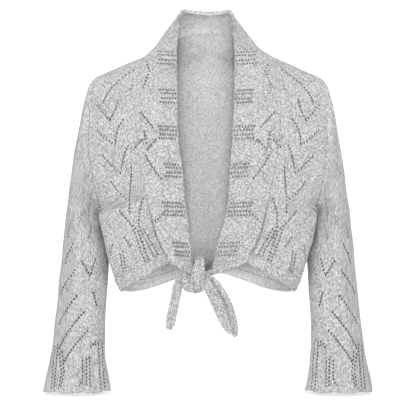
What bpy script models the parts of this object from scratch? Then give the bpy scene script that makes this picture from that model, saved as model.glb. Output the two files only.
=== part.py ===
"""Cropped knit cardigan with an open V neck, tied at the waist, filled out as worn."""

import math

import bmesh
import bpy
import numpy as np

# Tables and dimensions are in millimetres; METRE turns them into metres.
# x is across the body, the front faces -y, z is up, and 0 is on the shoulders at the neck.
METRE = 0.001

WALL = 2.6  # knit thickness
SEAM_GAP = 0.3  # between two pieces at a seam
ROUNDNESS = 2.5  # exponent of the body's sections, 2 would be an ellipse
PINCH_REACH = 43.0  # how far to the front and back the fold under the arm reaches
BACK_DROOP_END = 0.72  # the back hem is at its lowest this far from middle to side
BACK_DROOP_POWER = 1.8

ARMHOLE_ROWS = 14  # rows of points from the shoulder tip to the underarm
SIDE_ROWS = 6  # from the underarm to the hem seam
HEM_ROWS = 2
FRONT_COLUMNS = 8
NECK_COLUMNS = 9  # half of the back neckline
COLLAR_COLUMNS = 5  # and two more on the rim
COLLAR_END_ROWS = 5
SLEEVE_ROWS = 21

UNDERARM = 8  # this row of BODY is where the armhole ends
HEM_SEAM = 12  # and in this one the hem band starts
HEM_EDGE = 13
FINE = 40  # steps from one row of a table to the next when a curve is measured

# Half of the body from the shoulder seam (row 0) down to the hem's edge.
# seam: armhole, then side seam; depth: how far the section reaches to front and back;
# collar: where the front meets the collar band; centre_z: height at the middle of the back;
# droop: how much the row hangs towards the side.
BODY_COLUMNS = (
    "seam_x seam_front_y seam_back_y seam_z front_depth back_depth pinch "
    "collar_x collar_z centre_z droop"
).split()
BODY = np.array(
    (
        (200, 0, 0, -38, 0, 70, 0, 118, -2, 46, 0.0),
        (207, -30, 36, -47, 34, 82, 0, 122, -16, 14, 0.0),
        (213, -52, 58, -90, 72, 95, 0, 128, -56, -38, 0.0),
        (216, -64, 69, -145, 106, 103, 0, 131, -104, -95, 0.0),
        (213, -68, 71, -200, 121, 105, 4, 127, -156, -152, 0.0),
        (207, -62, 63, -245, 126, 100, 20, 121, -202, -202, 0.1),
        (199, -50, 50, -277, 126, 96, 38, 114, -237, -237, 0.3),
        (177, -27, 27, -294, 126, 94, 46, 111.5, -256, -255, 0.6),
        (162, 0, 0, -303, 125, 92, 54, 108.5, -272, -270, 0.9),
        (157, 0, 0, -330, 122, 90, 55, 102, -300, -298, 1.0),
        (156, 0, 0, -365, 119, 88, 48, 94.5, -330, -332, 1.0),
        (158, 0, 0, -398, 117, 88, 39, 86, -350, -364, 1.0),
        (162, 0, 0, -421, 115, 89, 28, 78.5, -364, -386, 1.0),
        (164, 0, 0, -441, 114, 91, 13, 72, -382, -404, 1.0),
    ),
    float,
)

# Back neckline from its middle to the shoulder seam: x, y, z.
NECKLINE = np.array(
    ((0, 76, 46), (30, 74, 44), (58, 66, 36), (84, 50, 22), (104, 28, 8), (118, 0, -2)),
    float,
)

# Sleeve rings below the armhole, down to the cuff: outer and inner point of each ring,
# how far its middle bows outwards, and its depth to the front and the back.
ARMHOLE_RINGS = 7  # this many rings still take after the armhole
RING_COLUMNS = "outer_x outer_z inner_x inner_z bow front back".split()
RINGS = np.array(
    (
        (211, -48, 168, -308, 36, 69, 72),
        (221, -75, 173, -315, 33, 69, 72),
        (231, -120, 177, -324, 30, 67, 70),
        (242, -172, 180, -336, 26, 63, 66),
        (252, -227, 181, -352, 19, 59, 62),
        (260, -280, 182, -372, 10, 55, 57),
        (267, -335, 184, -397, 4, 51, 53),
        (272, -390, 186, -428, 1, 48, 49),
        (277, -440, 188.5, -462, 0, 46, 47),
        (282, -485, 190.5, -498, 0, 45, 45),
        (287, -530, 190.5, -534, 0, 46, 46),
        (293, -565, 188.5, -566, 0, 48, 48),
        (300, -595, 185, -595, 0, 53, 53),
        (304, -618, 182, -618, 0, 57, 57),
    ),
    float,
)
SCALLOPS = 7  # round each cuff
SCALLOP_DROP = 2.0
SCALLOP_WAVE = 2.5  # how far the cuff waves in and out
SCALLOP_RISE = 60.0  # the waves die out this far above the edge

# Free edge of the collar band, from the knot up the front and round the neck.
# Columns: x on the wearer's right, x on the left, y, z, and how far the band's middle
# stands out from a straight line in x, y and z.
KNOT_END = np.array(
    (
        (26, -11, -121, -380, 0, 0, 0),
        (28, -1, -120.5, -374, 0, -2, 0),
        (28.5, 6, -119.5, -368, 0, -3, 0),
    ),
    float,
)
FRONT_EDGE = np.array(
    (
        (29.3, 11.5, -118.5, -362, 0, -3, 0),
        (30.3, 14.5, -118.5, -352, 0, -3, 0),
        (31.5, 18, -119, -340, 0, -3, 0),
        (33.5, 24.5, -120.5, -320, 0, -4, 0),
        (37, 31.5, -123, -294, 0, -4, 0),
        (41, 35.3, -126, -267, 0, -4, 0),
        (41.7, 36, -126.5, -254, 0, -4, 0),
        (43, 37, -126.5, -237, 0, -4, 0),
        (46.5, 39.5, -125, -204, 0, -4, 0),
        (52.5, 42.6, -119, -160, 0, -4, 0),
        (54, 45.5, -105, -112, 0, -5, 0),
        (55, 47, -83, -67, 0, -5, 2),
        (56, 47.6, -60, -32, 0, -5, 6),
        (57, 48.2, -38, 2, 1, -4, 9),
    ),
    float,
)
NECK_EDGE = np.array(
    (
        (55, 48.5, -22, 36, 4, 0, 7),
        (54, 48.5, -5, 68, 6, 3, 4),
        (49.5, 44, 19, 79, 5, 6, 2),
        (38, 34.5, 39, 82, 2, 6, 1),
        (20, 18.5, 52.5, 83, 1, 6, 1),
        (0, 0, 58, 83, 0, 6, 0),
    ),
    float,
)
# Lower edge of the band between the knot and the hem's corner: x right, x left, y, z.
BAND_FOOT = np.array(
    (
        (26, -11, -121, -396),
        (36, 14, -118, -396),
        (54, 48, -114, -389),
    ),
    float,
)
LEFT_BOW = 0.4  # the band's left half stands out less where it turns round the neck
RIM_WIDTH = 9.0
RIM_RISE = 2.0
RIM_START = 0.5  # the rim never takes more than this share of the band

# Soft folds of the front, then of the back, the same on both sides of the body:
# x, z at one end, x, z at the other end, half width, height above the cloth.
FRONT_FOLDS = np.array(
    (
        (243, -215, 262, -480, 12, -4.5),
        (228, -330, 214, -420, 12, -4.0),
        (112, -245, 62, -378, 9, -3.0),
        (140, -330, 100, -385, 11, 3.0),
        (176, -180, 186, -290, 14, -3.5),
        (232, -470, 238, -560, 11, -3.0),
    ),
    float,
)
BACK_FOLDS = np.array(
    (
        (190, -120, 178, -300, 16, -4.0),
        (245, -230, 258, -470, 12, -4.5),
        (120, -300, 150, -400, 14, 3.5),
        (60, -310, 46, -400, 15, -3.0),
        (222, -360, 236, -470, 12, 3.5),
    ),
    float,
)
FOLD_TURN = 2.0  # how quickly a fold reaches its full height where the cloth turns to it

# Free ends of the band below the knot: x, y, z, width, and how deep the strip is folded.
TIE_RIGHT = np.array(
    (
        (-27, -114.5, -402, 9, 1.0),
        (-36, -118, -412, 15, 2.0),
        (-50, -123, -421, 18, 3.0),
        (-58, -123, -431, 18, 3.0),
        (-62, -122, -448, 18, 2.5),
        (-66, -121, -466, 18, 2.0),
        (-68, -120, -483, 17, 2.0),
        (-69, -120, -493, 12, 1.5),
        (-69, -120, -497, 5, 1.0),
    ),
    float,
)
TIE_LEFT = np.array(
    (
        (-10, -128.5, -403, 10, 1.0),
        (0, -129, -411, 22, 4.0),
        (8, -128, -423, 30, 7.0),
        (18, -126, -441, 33, 8.0),
        (27, -125, -460, 34, 8.0),
        (34, -124, -478, 32, 7.0),
        (41, -124, -494, 25, 5.0),
        (47, -124, -505, 14, 3.0),
        (50, -124, -511, 5, 1.0),
    ),
    float,
)
TIE_COLUMNS = 4
TIE_ROWS = 16

KNOT_CENTRE = (-18, -121, -397)
KNOT_HEIGHT = 52.0
KNOT_DEPTH = 34.0
KNOT_WIDTH = 24.0
KNOT_LEAN = 0.12  # how far its top leans towards the wearer's left
KNOT_CROWN = 0.1  # its middle stands out by this share
KNOT_TAPER = 0.15  # and its top and bottom are narrower by this one
KNOT_AROUND = 20
KNOT_ACROSS = 4

# Linear colours.
KNIT_GREY = (0.55, 0.55, 0.54)
SLEEVE_GREY = (0.52, 0.52, 0.515)
BAND_GREY = (0.5, 0.5, 0.49)
KNIT_ROUGHNESS = 0.95
SHARP_ANGLE = 50.0  # degrees between two faces


def spline(rows, at):
    """Rows of a table read at fractional row numbers, smooth and without overshoot."""
    rows = np.asarray(rows, float)
    at = np.clip(np.atleast_1d(np.asarray(at, float)), 0, len(rows) - 1)
    step = np.diff(rows, axis=0)
    slope = np.zeros_like(rows)
    both = step[:-1] * step[1:]
    total = step[:-1] + step[1:]
    slope[1:-1] = np.where(both > 0, 2 * both / np.where(total == 0, 1, total), 0)
    slope[0] = 1.5 * step[0] - 0.5 * slope[1]
    slope[-1] = 1.5 * step[-1] - 0.5 * slope[-2]
    low = np.minimum(at.astype(int), len(rows) - 2)
    u = (at - low).reshape((-1,) + (1,) * (rows.ndim - 1))
    a, b = rows[low], rows[low + 1]
    da, db = slope[low], slope[low + 1]
    return (
        a * (1 + 2 * u) * (1 - u) ** 2
        + da * u * (1 - u) ** 2
        + b * u * u * (3 - 2 * u)
        + db * u * u * (u - 1)
    )


def fine_rows(table):
    """Fractional row numbers at which a curve through a table is measured."""
    last = len(table) - 1
    return np.linspace(0, last, last * FINE + 1)


def along(points):
    """Length from the first point to each point."""
    legs = np.linalg.norm(np.diff(points, axis=0), axis=1)
    return np.concatenate(([0.0], np.cumsum(legs)))


def evenly(points, count):
    """The same line again, as count equal steps."""
    length = along(points)
    at = np.linspace(0, length[-1], count + 1)
    return np.stack([np.interp(at, length, points[:, k]) for k in range(3)], axis=1)


def body_row(index, front, count):
    """One row of points from the collar seam, or the middle of the back, to the side."""
    row = dict(zip(BODY_COLUMNS, BODY[index]))
    depth = row["front_depth"] if front else row["back_depth"]
    seam_y = abs(row["seam_front_y"] if front else row["seam_back_y"])
    start_x = row["collar_x"] if front else 0.0
    start_z = row["collar_z"] if front else row["centre_z"]
    share = seam_y / depth if depth else 0.0
    at_seam = (1 - share**ROUNDNESS) ** (1 / ROUNDNESS)
    fold = row["pinch"] * math.exp(-((seam_y / PINCH_REACH) ** 3))
    width = (row["seam_x"] + fold) / at_seam
    first = math.asin((start_x / width) ** (ROUNDNESS / 2))
    last = math.acos(share ** (ROUNDNESS / 2))
    turn = np.linspace(first, last, FINE * count)
    x = width * np.sin(turn) ** (2 / ROUNDNESS)
    y = depth * np.abs(np.cos(turn)) ** (2 / ROUNDNESS)
    x -= row["pinch"] * np.exp(-((y / PINCH_REACH) ** 3))
    x[-1], y[-1] = row["seam_x"], seam_y
    flat = evenly(np.stack((x, -y if front else y, 0 * x), axis=1), count)
    share = np.linspace(0, 1, count + 1)
    curve = np.sin(share * math.pi / 2)
    if not front:
        curve = np.sin(np.minimum(share / BACK_DROOP_END, 1) * math.pi / 2) ** BACK_DROOP_POWER
    hang = share + row["droop"] * (curve - share)
    flat[:, 2] = start_z + (row["seam_z"] - start_z) * hang
    return flat


def neckline(count):
    """Half of the back neckline, from the middle to the shoulder."""
    return evenly(spline(NECKLINE, fine_rows(NECKLINE)), count)


def body_sections(front, columns, neck_columns=0):
    """Every row of BODY, with the same number of points in each."""
    rows = [body_row(k, front, columns) for k in range(len(BODY))]
    if not front:
        shoulder = body_row(0, True, columns - neck_columns)
        rows[0] = np.concatenate((neckline(neck_columns)[:-1], shoulder))
    return np.array(rows)


def body_rows():
    """Fractional row numbers that divide the armhole, side and hem evenly."""
    fine = fine_rows(BODY)
    seam = spline(BODY[:, [0, 1, 3]], fine)
    stretches = (
        (0, UNDERARM, ARMHOLE_ROWS),
        (UNDERARM, HEM_SEAM, SIDE_ROWS),
        (HEM_SEAM, HEM_EDGE, HEM_ROWS),
    )
    at = [0.0]
    for start, end, count in stretches:
        inside = (fine >= start) & (fine <= end)
        length = along(seam[inside])
        steps = np.linspace(0, length[-1], count + 1)[1:]
        at.extend(np.interp(steps, length, fine[inside]))
        at[-1] = float(end)
    return np.array(at)


def armhole_form(seam):
    """A half armhole as shares of its height, of its bow and of its depth."""
    top, bottom = seam[0], seam[-1]
    height = (top[2] - seam[:, 2]) / (top[2] - bottom[2])
    bow = seam[:, 0] - (top[0] + (bottom[0] - top[0]) * height)
    depth = np.abs(seam[:, 1])
    return np.stack((height, bow / bow.max(), depth / depth.max()), axis=1)


def round_form(count):
    """The same three shares on a round sleeve."""
    turn = np.linspace(0, math.pi, count)
    return np.stack(((1 - np.cos(turn)) / 2, np.sin(turn) ** 2, np.sin(turn)), axis=1)


def ring(index, seams):
    """One ring of a sleeve: like the armhole near it, and round further down."""
    row = dict(zip(RING_COLUMNS, RINGS[index]))
    likeness = max(0.0, 1 - (index + 1) / ARMHOLE_RINGS)
    half = []
    for seam, depth in zip(seams, (-row["front"], row["back"])):
        form = armhole_form(seam) * likeness + round_form(len(seam)) * (1 - likeness)
        x = row["outer_x"] + (row["inner_x"] - row["outer_x"]) * form[:, 0]
        z = row["outer_z"] + (row["inner_z"] - row["outer_z"]) * form[:, 0]
        x += row["bow"] * form[:, 1]
        line = np.stack((x, depth * form[:, 2], z), axis=1)
        half.append(evenly(spline(line, fine_rows(line)), len(seam) - 1))
    return np.concatenate((half[0], half[1][::-1][1:-1]))


def sleeve_grid(front_seam, back_seam):
    """Rings from the armhole to the cuff; the armhole is the body's own seam."""
    armhole = np.concatenate((front_seam, back_seam[::-1][1:-1]))
    count = len(armhole)
    seams = (front_seam, back_seam)
    rings = np.array([armhole] + [ring(k, seams) for k in range(len(RINGS))])
    middle = along(rings[:, count // 4])
    steps = np.linspace(0, middle[-1], SLEEVE_ROWS + 1)
    grid = spline(rings, np.interp(steps, middle, np.arange(len(rings))))
    share = np.clip((steps - steps[-1] + SCALLOP_RISE) / SCALLOP_RISE, 0, 1)[:, None]
    turn = np.arange(count) / count * SCALLOPS * math.pi
    centre = grid.mean(axis=1, keepdims=True)
    outward = (grid - centre) * (1, 1, 0)
    outward /= np.linalg.norm(outward, axis=2, keepdims=True)
    wave = SCALLOP_WAVE * share**2 * (np.abs(np.sin(turn)) * 2 - 1)
    grid += outward * wave[..., None]
    grid[..., 2] -= SCALLOP_DROP * share**6 * np.abs(np.sin(turn))
    return grid


def collar_half(side, front_seam, neck_seam, rows):
    """Half of the band, from the knot round to the middle of the neck."""
    column = 0 if side < 0 else 1
    foot = np.concatenate((BAND_FOOT[:, [column, 2, 3]], front_seam[-1:]))
    end = spline(foot, np.linspace(0, len(BAND_FOOT), COLLAR_END_ROWS + 1))
    seam = np.concatenate((end[:-1], front_seam[::-1], neck_seam[::-1][1:]))
    seam[:, 0] *= side
    stations = np.concatenate((KNOT_END, FRONT_EDGE, NECK_EDGE))
    knot_rows = np.linspace(0, len(KNOT_END), COLLAR_END_ROWS + 1)
    front_rows = len(KNOT_END) + HEM_EDGE - rows[::-1]
    neck_rows = np.linspace(0, len(NECK_EDGE), len(neck_seam))[1:]
    last_front = len(KNOT_END) + HEM_EDGE
    at = np.concatenate((knot_rows[:-1], front_rows, last_front + neck_rows))
    read = spline(stations, at)
    edge = np.stack((side * read[:, column], read[:, 2], read[:, 3]), axis=1)
    bow = read[:, 4:7] * (side, 1, 1)
    if side > 0:
        bow[at > last_front] *= LEFT_BOW
    across = []
    for start, free, out in zip(seam, edge, bow):
        c = np.linspace(0, 1, FINE + 1)[:, None]
        line = start * (1 - c) + free * c + out * 4 * c * (1 - c)
        length = along(line)
        rim = max(1 - RIM_WIDTH / length[-1], RIM_START)
        shares = np.append(np.linspace(0, rim, COLLAR_COLUMNS + 1), ((1 + rim) / 2, 1))
        steps = shares * length[-1]
        across.append([[np.interp(s, length, line[:, k]) for k in range(3)] for s in steps])
    return np.array(across)


def strip(table, columns, rows):
    """A free tie end: a strip folded lengthwise, hanging along its table."""
    fine = fine_rows(table)
    length = along(spline(table, fine)[:, :3])
    steps = np.linspace(0, length[-1], rows + 1)
    read = spline(table, np.interp(steps, length, fine))
    run = np.gradient(read[:, :3], axis=0)
    run /= np.linalg.norm(run, axis=1, keepdims=True)
    sideways = np.cross((0, -1, 0), run)
    sideways /= np.linalg.norm(sideways, axis=1, keepdims=True)
    forward = np.cross(run, sideways)
    across = np.linspace(-1, 1, columns + 1)
    bend = 1 - np.abs(across)
    return (
        read[:, None, :3]
        + sideways[:, None] * (across[None, :, None] * read[:, 3, None, None] / 2)
        + forward[:, None] * (bend[None, :, None] * read[:, 4, None, None])
    )


def knot_grid():
    """The loop that is wrapped round the two ends of the band."""
    turn = np.linspace(0, 2 * math.pi, KNOT_AROUND, endpoint=False)
    across = np.linspace(-1, 1, KNOT_ACROSS + 1)
    crown = 1 + KNOT_CROWN * (1 - across**2)
    up = np.cos(turn)[:, None] * crown * KNOT_HEIGHT / 2
    out = np.sin(turn)[:, None] * crown * KNOT_DEPTH / 2
    width = KNOT_WIDTH / 2 * (1 - KNOT_TAPER * np.cos(turn) ** 2)
    x = KNOT_CENTRE[0] + width[:, None] * across + KNOT_LEAN * up
    loop = np.stack((x, KNOT_CENTRE[1] - out, KNOT_CENTRE[2] + up), axis=2)
    return loop.transpose(1, 0, 2)[::-1]


def face_normals(grid, closed):
    """Area-weighted normals of a grid's quads, added up at its points."""
    total = np.zeros_like(grid)
    rows = range(len(grid) - 1)
    columns = grid.shape[1]
    for i in rows:
        for j in range(columns if closed else columns - 1):
            k = (j + 1) % columns
            corners = ((i, j), (i + 1, j), (i + 1, k), (i, k))
            a, b, c, d = (grid[p] for p in corners)
            normal = np.cross(c - a, d - b)
            for p in corners:
                total[p] += normal
    return total


def creased(grid, normals):
    """The grid with the soft folds of its side pressed in or raised."""
    out = grid.copy()
    for folds, sign in ((FRONT_FOLDS, -1), (BACK_FOLDS, 1)):
        for x0, z0, x1, z1, reach, depth in folds:
            flat = np.stack((np.abs(grid[..., 0]), grid[..., 2]), axis=-1)
            start = np.array((x0, z0))
            run = np.array((x1, z1)) - start
            share = ((flat - start) @ run) / (run @ run)
            near = start + np.clip(share, 0, 1)[..., None] * run
            away = np.linalg.norm(flat - near, axis=-1)
            facing = np.clip(sign * normals[..., 1] * FOLD_TURN, 0, 1)
            push = depth * np.exp(-((away / reach) ** 2)) * facing
            out += normals * push[..., None]
    return out


def unit(vectors):
    return vectors / np.maximum(np.linalg.norm(vectors, axis=-1, keepdims=True), 1e-9)


def key(point):
    return tuple(np.round(point, 2) + 0.0)


def shared_normals(pieces):
    """Point normals in which pieces that meet at a seam agree."""
    total = {}
    for piece in pieces:
        normals = face_normals(piece["grid"], piece["closed"])
        for point, normal in zip(piece["grid"].reshape(-1, 3), normals.reshape(-1, 3)):
            here = key(point)
            total[here] = total.get(here, 0) + normal
    for piece in pieces:
        flat = piece["grid"].reshape(-1, 3)
        normals = np.array([total[key(point)] for point in flat])
        piece["normals"] = unit(normals.reshape(piece["grid"].shape))


def drawn_back(edge, inner, normals, closed):
    """Points of an edge moved into their own piece, square to the edge."""
    if closed:
        run = np.roll(edge, -1, axis=0) - np.roll(edge, 1, axis=0)
    else:
        run = np.gradient(edge, axis=0)
    inward = unit(np.cross(normals, run))
    side = np.sign(np.sum(inward * (inner - edge), axis=1, keepdims=True))
    return SEAM_GAP / 2 * inward * side


def seam_moves(grid, sides, closed):
    """How far each point is drawn back from the seams that it lies on."""
    own = unit(face_normals(grid, closed))
    move = np.zeros_like(grid)
    if "top" in sides:
        move[0] += drawn_back(grid[0], grid[1], own[0], closed)
    if "bottom" in sides:
        move[-1] += drawn_back(grid[-1], grid[-2], own[-1], closed)
    if "start" in sides:
        move[:, 0] += drawn_back(grid[:, 0], grid[:, 1], own[:, 0], False)
    if "end" in sides:
        move[:, -1] += drawn_back(grid[:, -1], grid[:, -2], own[:, -1], False)
    return move


def material(name, colour):
    made = bpy.data.materials.new(name)
    made.use_nodes = True
    shader = made.node_tree.nodes["Principled BSDF"]
    shader.inputs["Base Color"].default_value = (*colour, 1.0)
    shader.inputs["Roughness"].default_value = KNIT_ROUGHNESS
    shader.inputs["Metallic"].default_value = 0.0
    return made


def wall(piece, collection):
    """A piece of cloth as a closed wall: outer skin, inner skin and the rim between."""
    closed = piece["closed"]
    outer = piece["outer"] + seam_moves(piece["outer"], piece["seams"], closed)
    inner = outer - piece["normals"] * WALL
    outer = outer + piece["normals"] * piece["raised"][..., None]
    rows, columns = outer.shape[:2]
    mesh = bmesh.new()
    skins = []
    for skin in (outer, inner):
        skins.append([[mesh.verts.new(p * METRE) for p in line] for line in skin])
    last = columns if closed else columns - 1
    for i in range(rows - 1):
        for j in range(last):
            k = (j + 1) % columns
            for skin, flip in zip(skins, (False, True)):
                quad = [skin[i][j], skin[i + 1][j], skin[i + 1][k], skin[i][k]]
                mesh.faces.new(quad[::-1] if flip else quad)
    if closed:
        loops = [[(0, j) for j in range(columns)], [(rows - 1, j) for j in range(columns)]]
    else:
        rim = [(i, 0) for i in range(rows - 1)]
        rim += [(rows - 1, j) for j in range(columns - 1)]
        rim += [(i, columns - 1) for i in range(rows - 1, 0, -1)]
        rim += [(0, j) for j in range(columns - 1, 0, -1)]
        loops = [rim]
    for loop in loops:
        for a, b in zip(loop, loop[1:] + loop[:1]):
            quad = [skins[0][a[0]][a[1]], skins[0][b[0]][b[1]]]
            quad += [skins[1][b[0]][b[1]], skins[1][a[0]][a[1]]]
            mesh.faces.new(quad)
    bmesh.ops.recalc_face_normals(mesh, faces=mesh.faces)
    bmesh.ops.triangulate(mesh, faces=mesh.faces)
    data = bpy.data.meshes.new(piece["name"])
    mesh.to_mesh(data)
    mesh.free()
    data.shade_smooth()
    data.set_sharp_from_angle(angle=math.radians(SHARP_ANGLE))
    data.materials.append(material(piece["name"], piece["colour"]))
    made = bpy.data.objects.new(piece["name"], data)
    collection.objects.link(made)
    return made


def piece(name, grid, colour, seams=(), closed=False, raised=None):
    if raised is None:
        raised = np.zeros(grid.shape[:2])
    return {
        "name": name,
        "grid": grid,
        "colour": colour,
        "seams": seams,
        "closed": closed,
        "raised": raised,
    }


def mirrored(grid):
    """The other side of the body; its columns run the other way, so that it faces out."""
    return (grid * (-1, 1, 1))[:, ::-1]


def make_pieces():
    rows = body_rows()
    hem = ARMHOLE_ROWS + SIDE_ROWS
    front = spline(body_sections(True, FRONT_COLUMNS), rows)
    back_columns = NECK_COLUMNS + FRONT_COLUMNS
    back = spline(body_sections(False, back_columns, NECK_COLUMNS), rows)
    whole_back = np.concatenate((mirrored(back)[:, :-1], back), axis=1)[:, ::-1]
    neck_seam = back[0, : NECK_COLUMNS + 1]
    sleeve = sleeve_grid(front[: ARMHOLE_ROWS + 1, -1], back[: ARMHOLE_ROWS + 1, -1])

    left, right = (collar_half(side, front[:, 0], neck_seam, rows) for side in (1, -1))
    band = np.concatenate((left, right[::-1][1:]))
    rim = np.zeros(band.shape[:2])
    rim[:, -2:] = RIM_RISE

    every = ("top", "bottom", "start", "end")
    pieces = [
        piece("back", whole_back[: hem + 1], KNIT_GREY, every),
        piece("front_left", front[: hem + 1], KNIT_GREY, every),
        piece("front_right", mirrored(front)[: hem + 1], KNIT_GREY, every),
        piece("hem_band_back", whole_back[hem:], BAND_GREY, ("top", "start", "end")),
        piece("hem_band_left", front[hem:], BAND_GREY, ("top", "start", "end")),
        piece("hem_band_right", mirrored(front)[hem:], BAND_GREY, ("top", "start", "end")),
        piece("sleeve_left", sleeve[:, ::-1], SLEEVE_GREY, ("top",), True),
        piece("sleeve_right", sleeve * (-1, 1, 1), SLEEVE_GREY, ("top",), True),
        piece("collar", band, KNIT_GREY, ("start",), raised=rim),
        piece("tie_left", strip(TIE_LEFT, TIE_COLUMNS, TIE_ROWS), BAND_GREY),
        piece("tie_right", strip(TIE_RIGHT, TIE_COLUMNS, TIE_ROWS), BAND_GREY),
        piece("knot", knot_grid(), BAND_GREY, closed=True),
    ]
    shared_normals(pieces)
    for each in pieces:
        each["outer"] = creased(each["grid"], each["normals"])
    return pieces


def main():
    for old in list(bpy.data.objects):
        bpy.data.objects.remove(old, do_unlink=True)
    collection = bpy.data.collections.new("tied_cardigan")
    bpy.context.scene.collection.children.link(collection)
    for each in make_pieces():
        wall(each, collection)


main()
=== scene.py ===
import math

import bpy
import numpy as np
from mathutils.kdtree import KDTree
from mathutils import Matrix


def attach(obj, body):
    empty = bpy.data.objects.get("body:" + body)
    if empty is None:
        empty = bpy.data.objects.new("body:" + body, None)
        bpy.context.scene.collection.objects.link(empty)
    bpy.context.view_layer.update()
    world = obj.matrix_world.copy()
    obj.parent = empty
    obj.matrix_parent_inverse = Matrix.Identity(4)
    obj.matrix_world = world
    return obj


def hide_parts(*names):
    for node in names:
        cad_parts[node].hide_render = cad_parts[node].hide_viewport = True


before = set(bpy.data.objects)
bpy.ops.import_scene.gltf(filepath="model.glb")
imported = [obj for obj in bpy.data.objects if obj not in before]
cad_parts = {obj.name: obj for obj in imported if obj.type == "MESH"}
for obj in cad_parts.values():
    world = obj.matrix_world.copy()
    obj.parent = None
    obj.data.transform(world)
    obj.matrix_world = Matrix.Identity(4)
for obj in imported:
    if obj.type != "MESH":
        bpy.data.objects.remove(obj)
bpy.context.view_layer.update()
bpy.ops.object.select_all(action="DESELECT")

metre = 0.001  # the tables are in millimetres, the meshes in metres
fineSteps = 40  # steps from one row of a table to the next when a curve is measured
flip = (-1, 1, 1)  # takes a piece to the body's other side


def table(*rows):
    return np.array(rows, float)


# Half of the body, from the shoulder seam down to the hem's edge, and its stitch counts.
body = {
    "columns": (
        "seamX seamFrontY seamBackY seamZ frontDepth backDepth pinch "
        "collarX collarZ centreZ droop"
    ).split(),
    "rows": table(
        (200, 0, 0, -38, 0, 70, 0, 118, -2, 46, 0.0),
        (207, -30, 36, -47, 34, 82, 0, 122, -16, 14, 0.0),
        (213, -52, 58, -90, 72, 95, 0, 128, -56, -38, 0.0),
        (216, -64, 69, -145, 106, 103, 0, 131, -104, -95, 0.0),
        (213, -68, 71, -200, 121, 105, 4, 127, -156, -152, 0.0),
        (207, -62, 63, -245, 126, 100, 20, 121, -202, -202, 0.1),
        (199, -50, 50, -277, 126, 96, 38, 114, -237, -237, 0.3),
        (177, -27, 27, -294, 126, 94, 46, 111.5, -256, -255, 0.6),
        (162, 0, 0, -303, 125, 92, 54, 108.5, -272, -270, 0.9),
        (157, 0, 0, -330, 122, 90, 55, 102, -300, -298, 1.0),
        (156, 0, 0, -365, 119, 88, 48, 94.5, -330, -332, 1.0),
        (156.5, 0, 0, -398, 117, 88, 37, 86, -350, -364, 1.0),
        (158.5, 0, 0, -421, 115, 89, 26, 78.5, -364, -386, 1.0),
        (157, 0, 0, -441, 114, 91, 13, 72, -382, -404, 1.0),
    ),
    # back neckline from its middle to the shoulder seam: x, y, z
    "neckline": table(
        (0, 76, 46), (30, 74, 44), (58, 66, 36), (84, 50, 22), (104, 28, 8), (118, 0, -2)
    ),
    "roundness": 2.5,
    # points along a row's curve, and columns used to measure how long the rows' sides are
    "curveSteps": 960,
    "measureColumns": 20,
    "pinchReach": 43.0,
    "droopEnd": 0.72,
    "droopPower": 1.8,
    "underarm": 8,
    "hemSeam": 12,
    "hemEdge": 13,
    "stitch": 2.45,
    # the hem's lower corner is rounded off: lift in millimetres of the rows next to the edge
    "cornerLift": {12: 4.0, 13: 11.0},
    "cornerFrom": 0.7,
    "frontWales": 62,
    "neckWales": 54,
    "thickness": 2.2,
}


def spline(rows, at):
    # rows of a table read at fractional row numbers, smooth and without overshoot
    rows = np.asarray(rows, float)
    at = np.clip(np.atleast_1d(np.asarray(at, float)), 0, len(rows) - 1)
    step = np.diff(rows, axis=0)
    slope = np.zeros_like(rows)
    both = step[:-1] * step[1:]
    total = step[:-1] + step[1:]
    slope[1:-1] = np.where(both > 0, 2 * both / np.where(total == 0, 1, total), 0)
    slope[0] = 1.5 * step[0] - 0.5 * slope[1]
    slope[-1] = 1.5 * step[-1] - 0.5 * slope[-2]
    low = np.minimum(at.astype(int), len(rows) - 2)
    u = (at - low).reshape((-1,) + (1,) * (rows.ndim - 1))
    a, b = rows[low], rows[low + 1]
    da, db = slope[low], slope[low + 1]
    return (
        a * (1 + 2 * u) * (1 - u) ** 2
        + da * u * (1 - u) ** 2
        + b * u * u * (3 - 2 * u)
        + db * u * u * (u - 1)
    )


def fineRows(rows):
    last = len(rows) - 1
    return np.linspace(0, last, last * fineSteps + 1)


def along(points):
    legs = np.linalg.norm(np.diff(points, axis=0), axis=1)
    return np.concatenate(([0.0], np.cumsum(legs)))


def threaded(points, places, at):
    # a line of points, one at each place, read at other places
    return np.stack([np.interp(at, places, points[:, k]) for k in range(3)], axis=1)


def evenly(points, count):
    length = along(points)
    return threaded(points, length, np.linspace(0, length[-1], count + 1))


def unit(vectors):
    return vectors / np.maximum(np.linalg.norm(vectors, axis=-1, keepdims=True), 1e-9)


def bell(away, width):
    return np.exp(-((away / width) ** 2))


def ramp(value, start, width):
    # 0 up to the start, rising to 1 over the width
    return np.clip((value - start) / width, 0, 1)


def wrapped(values, closed=True):
    # a tube's columns with the first one again after the last
    return np.concatenate((values, values[:, :1]), axis=1) if closed else values


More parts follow.
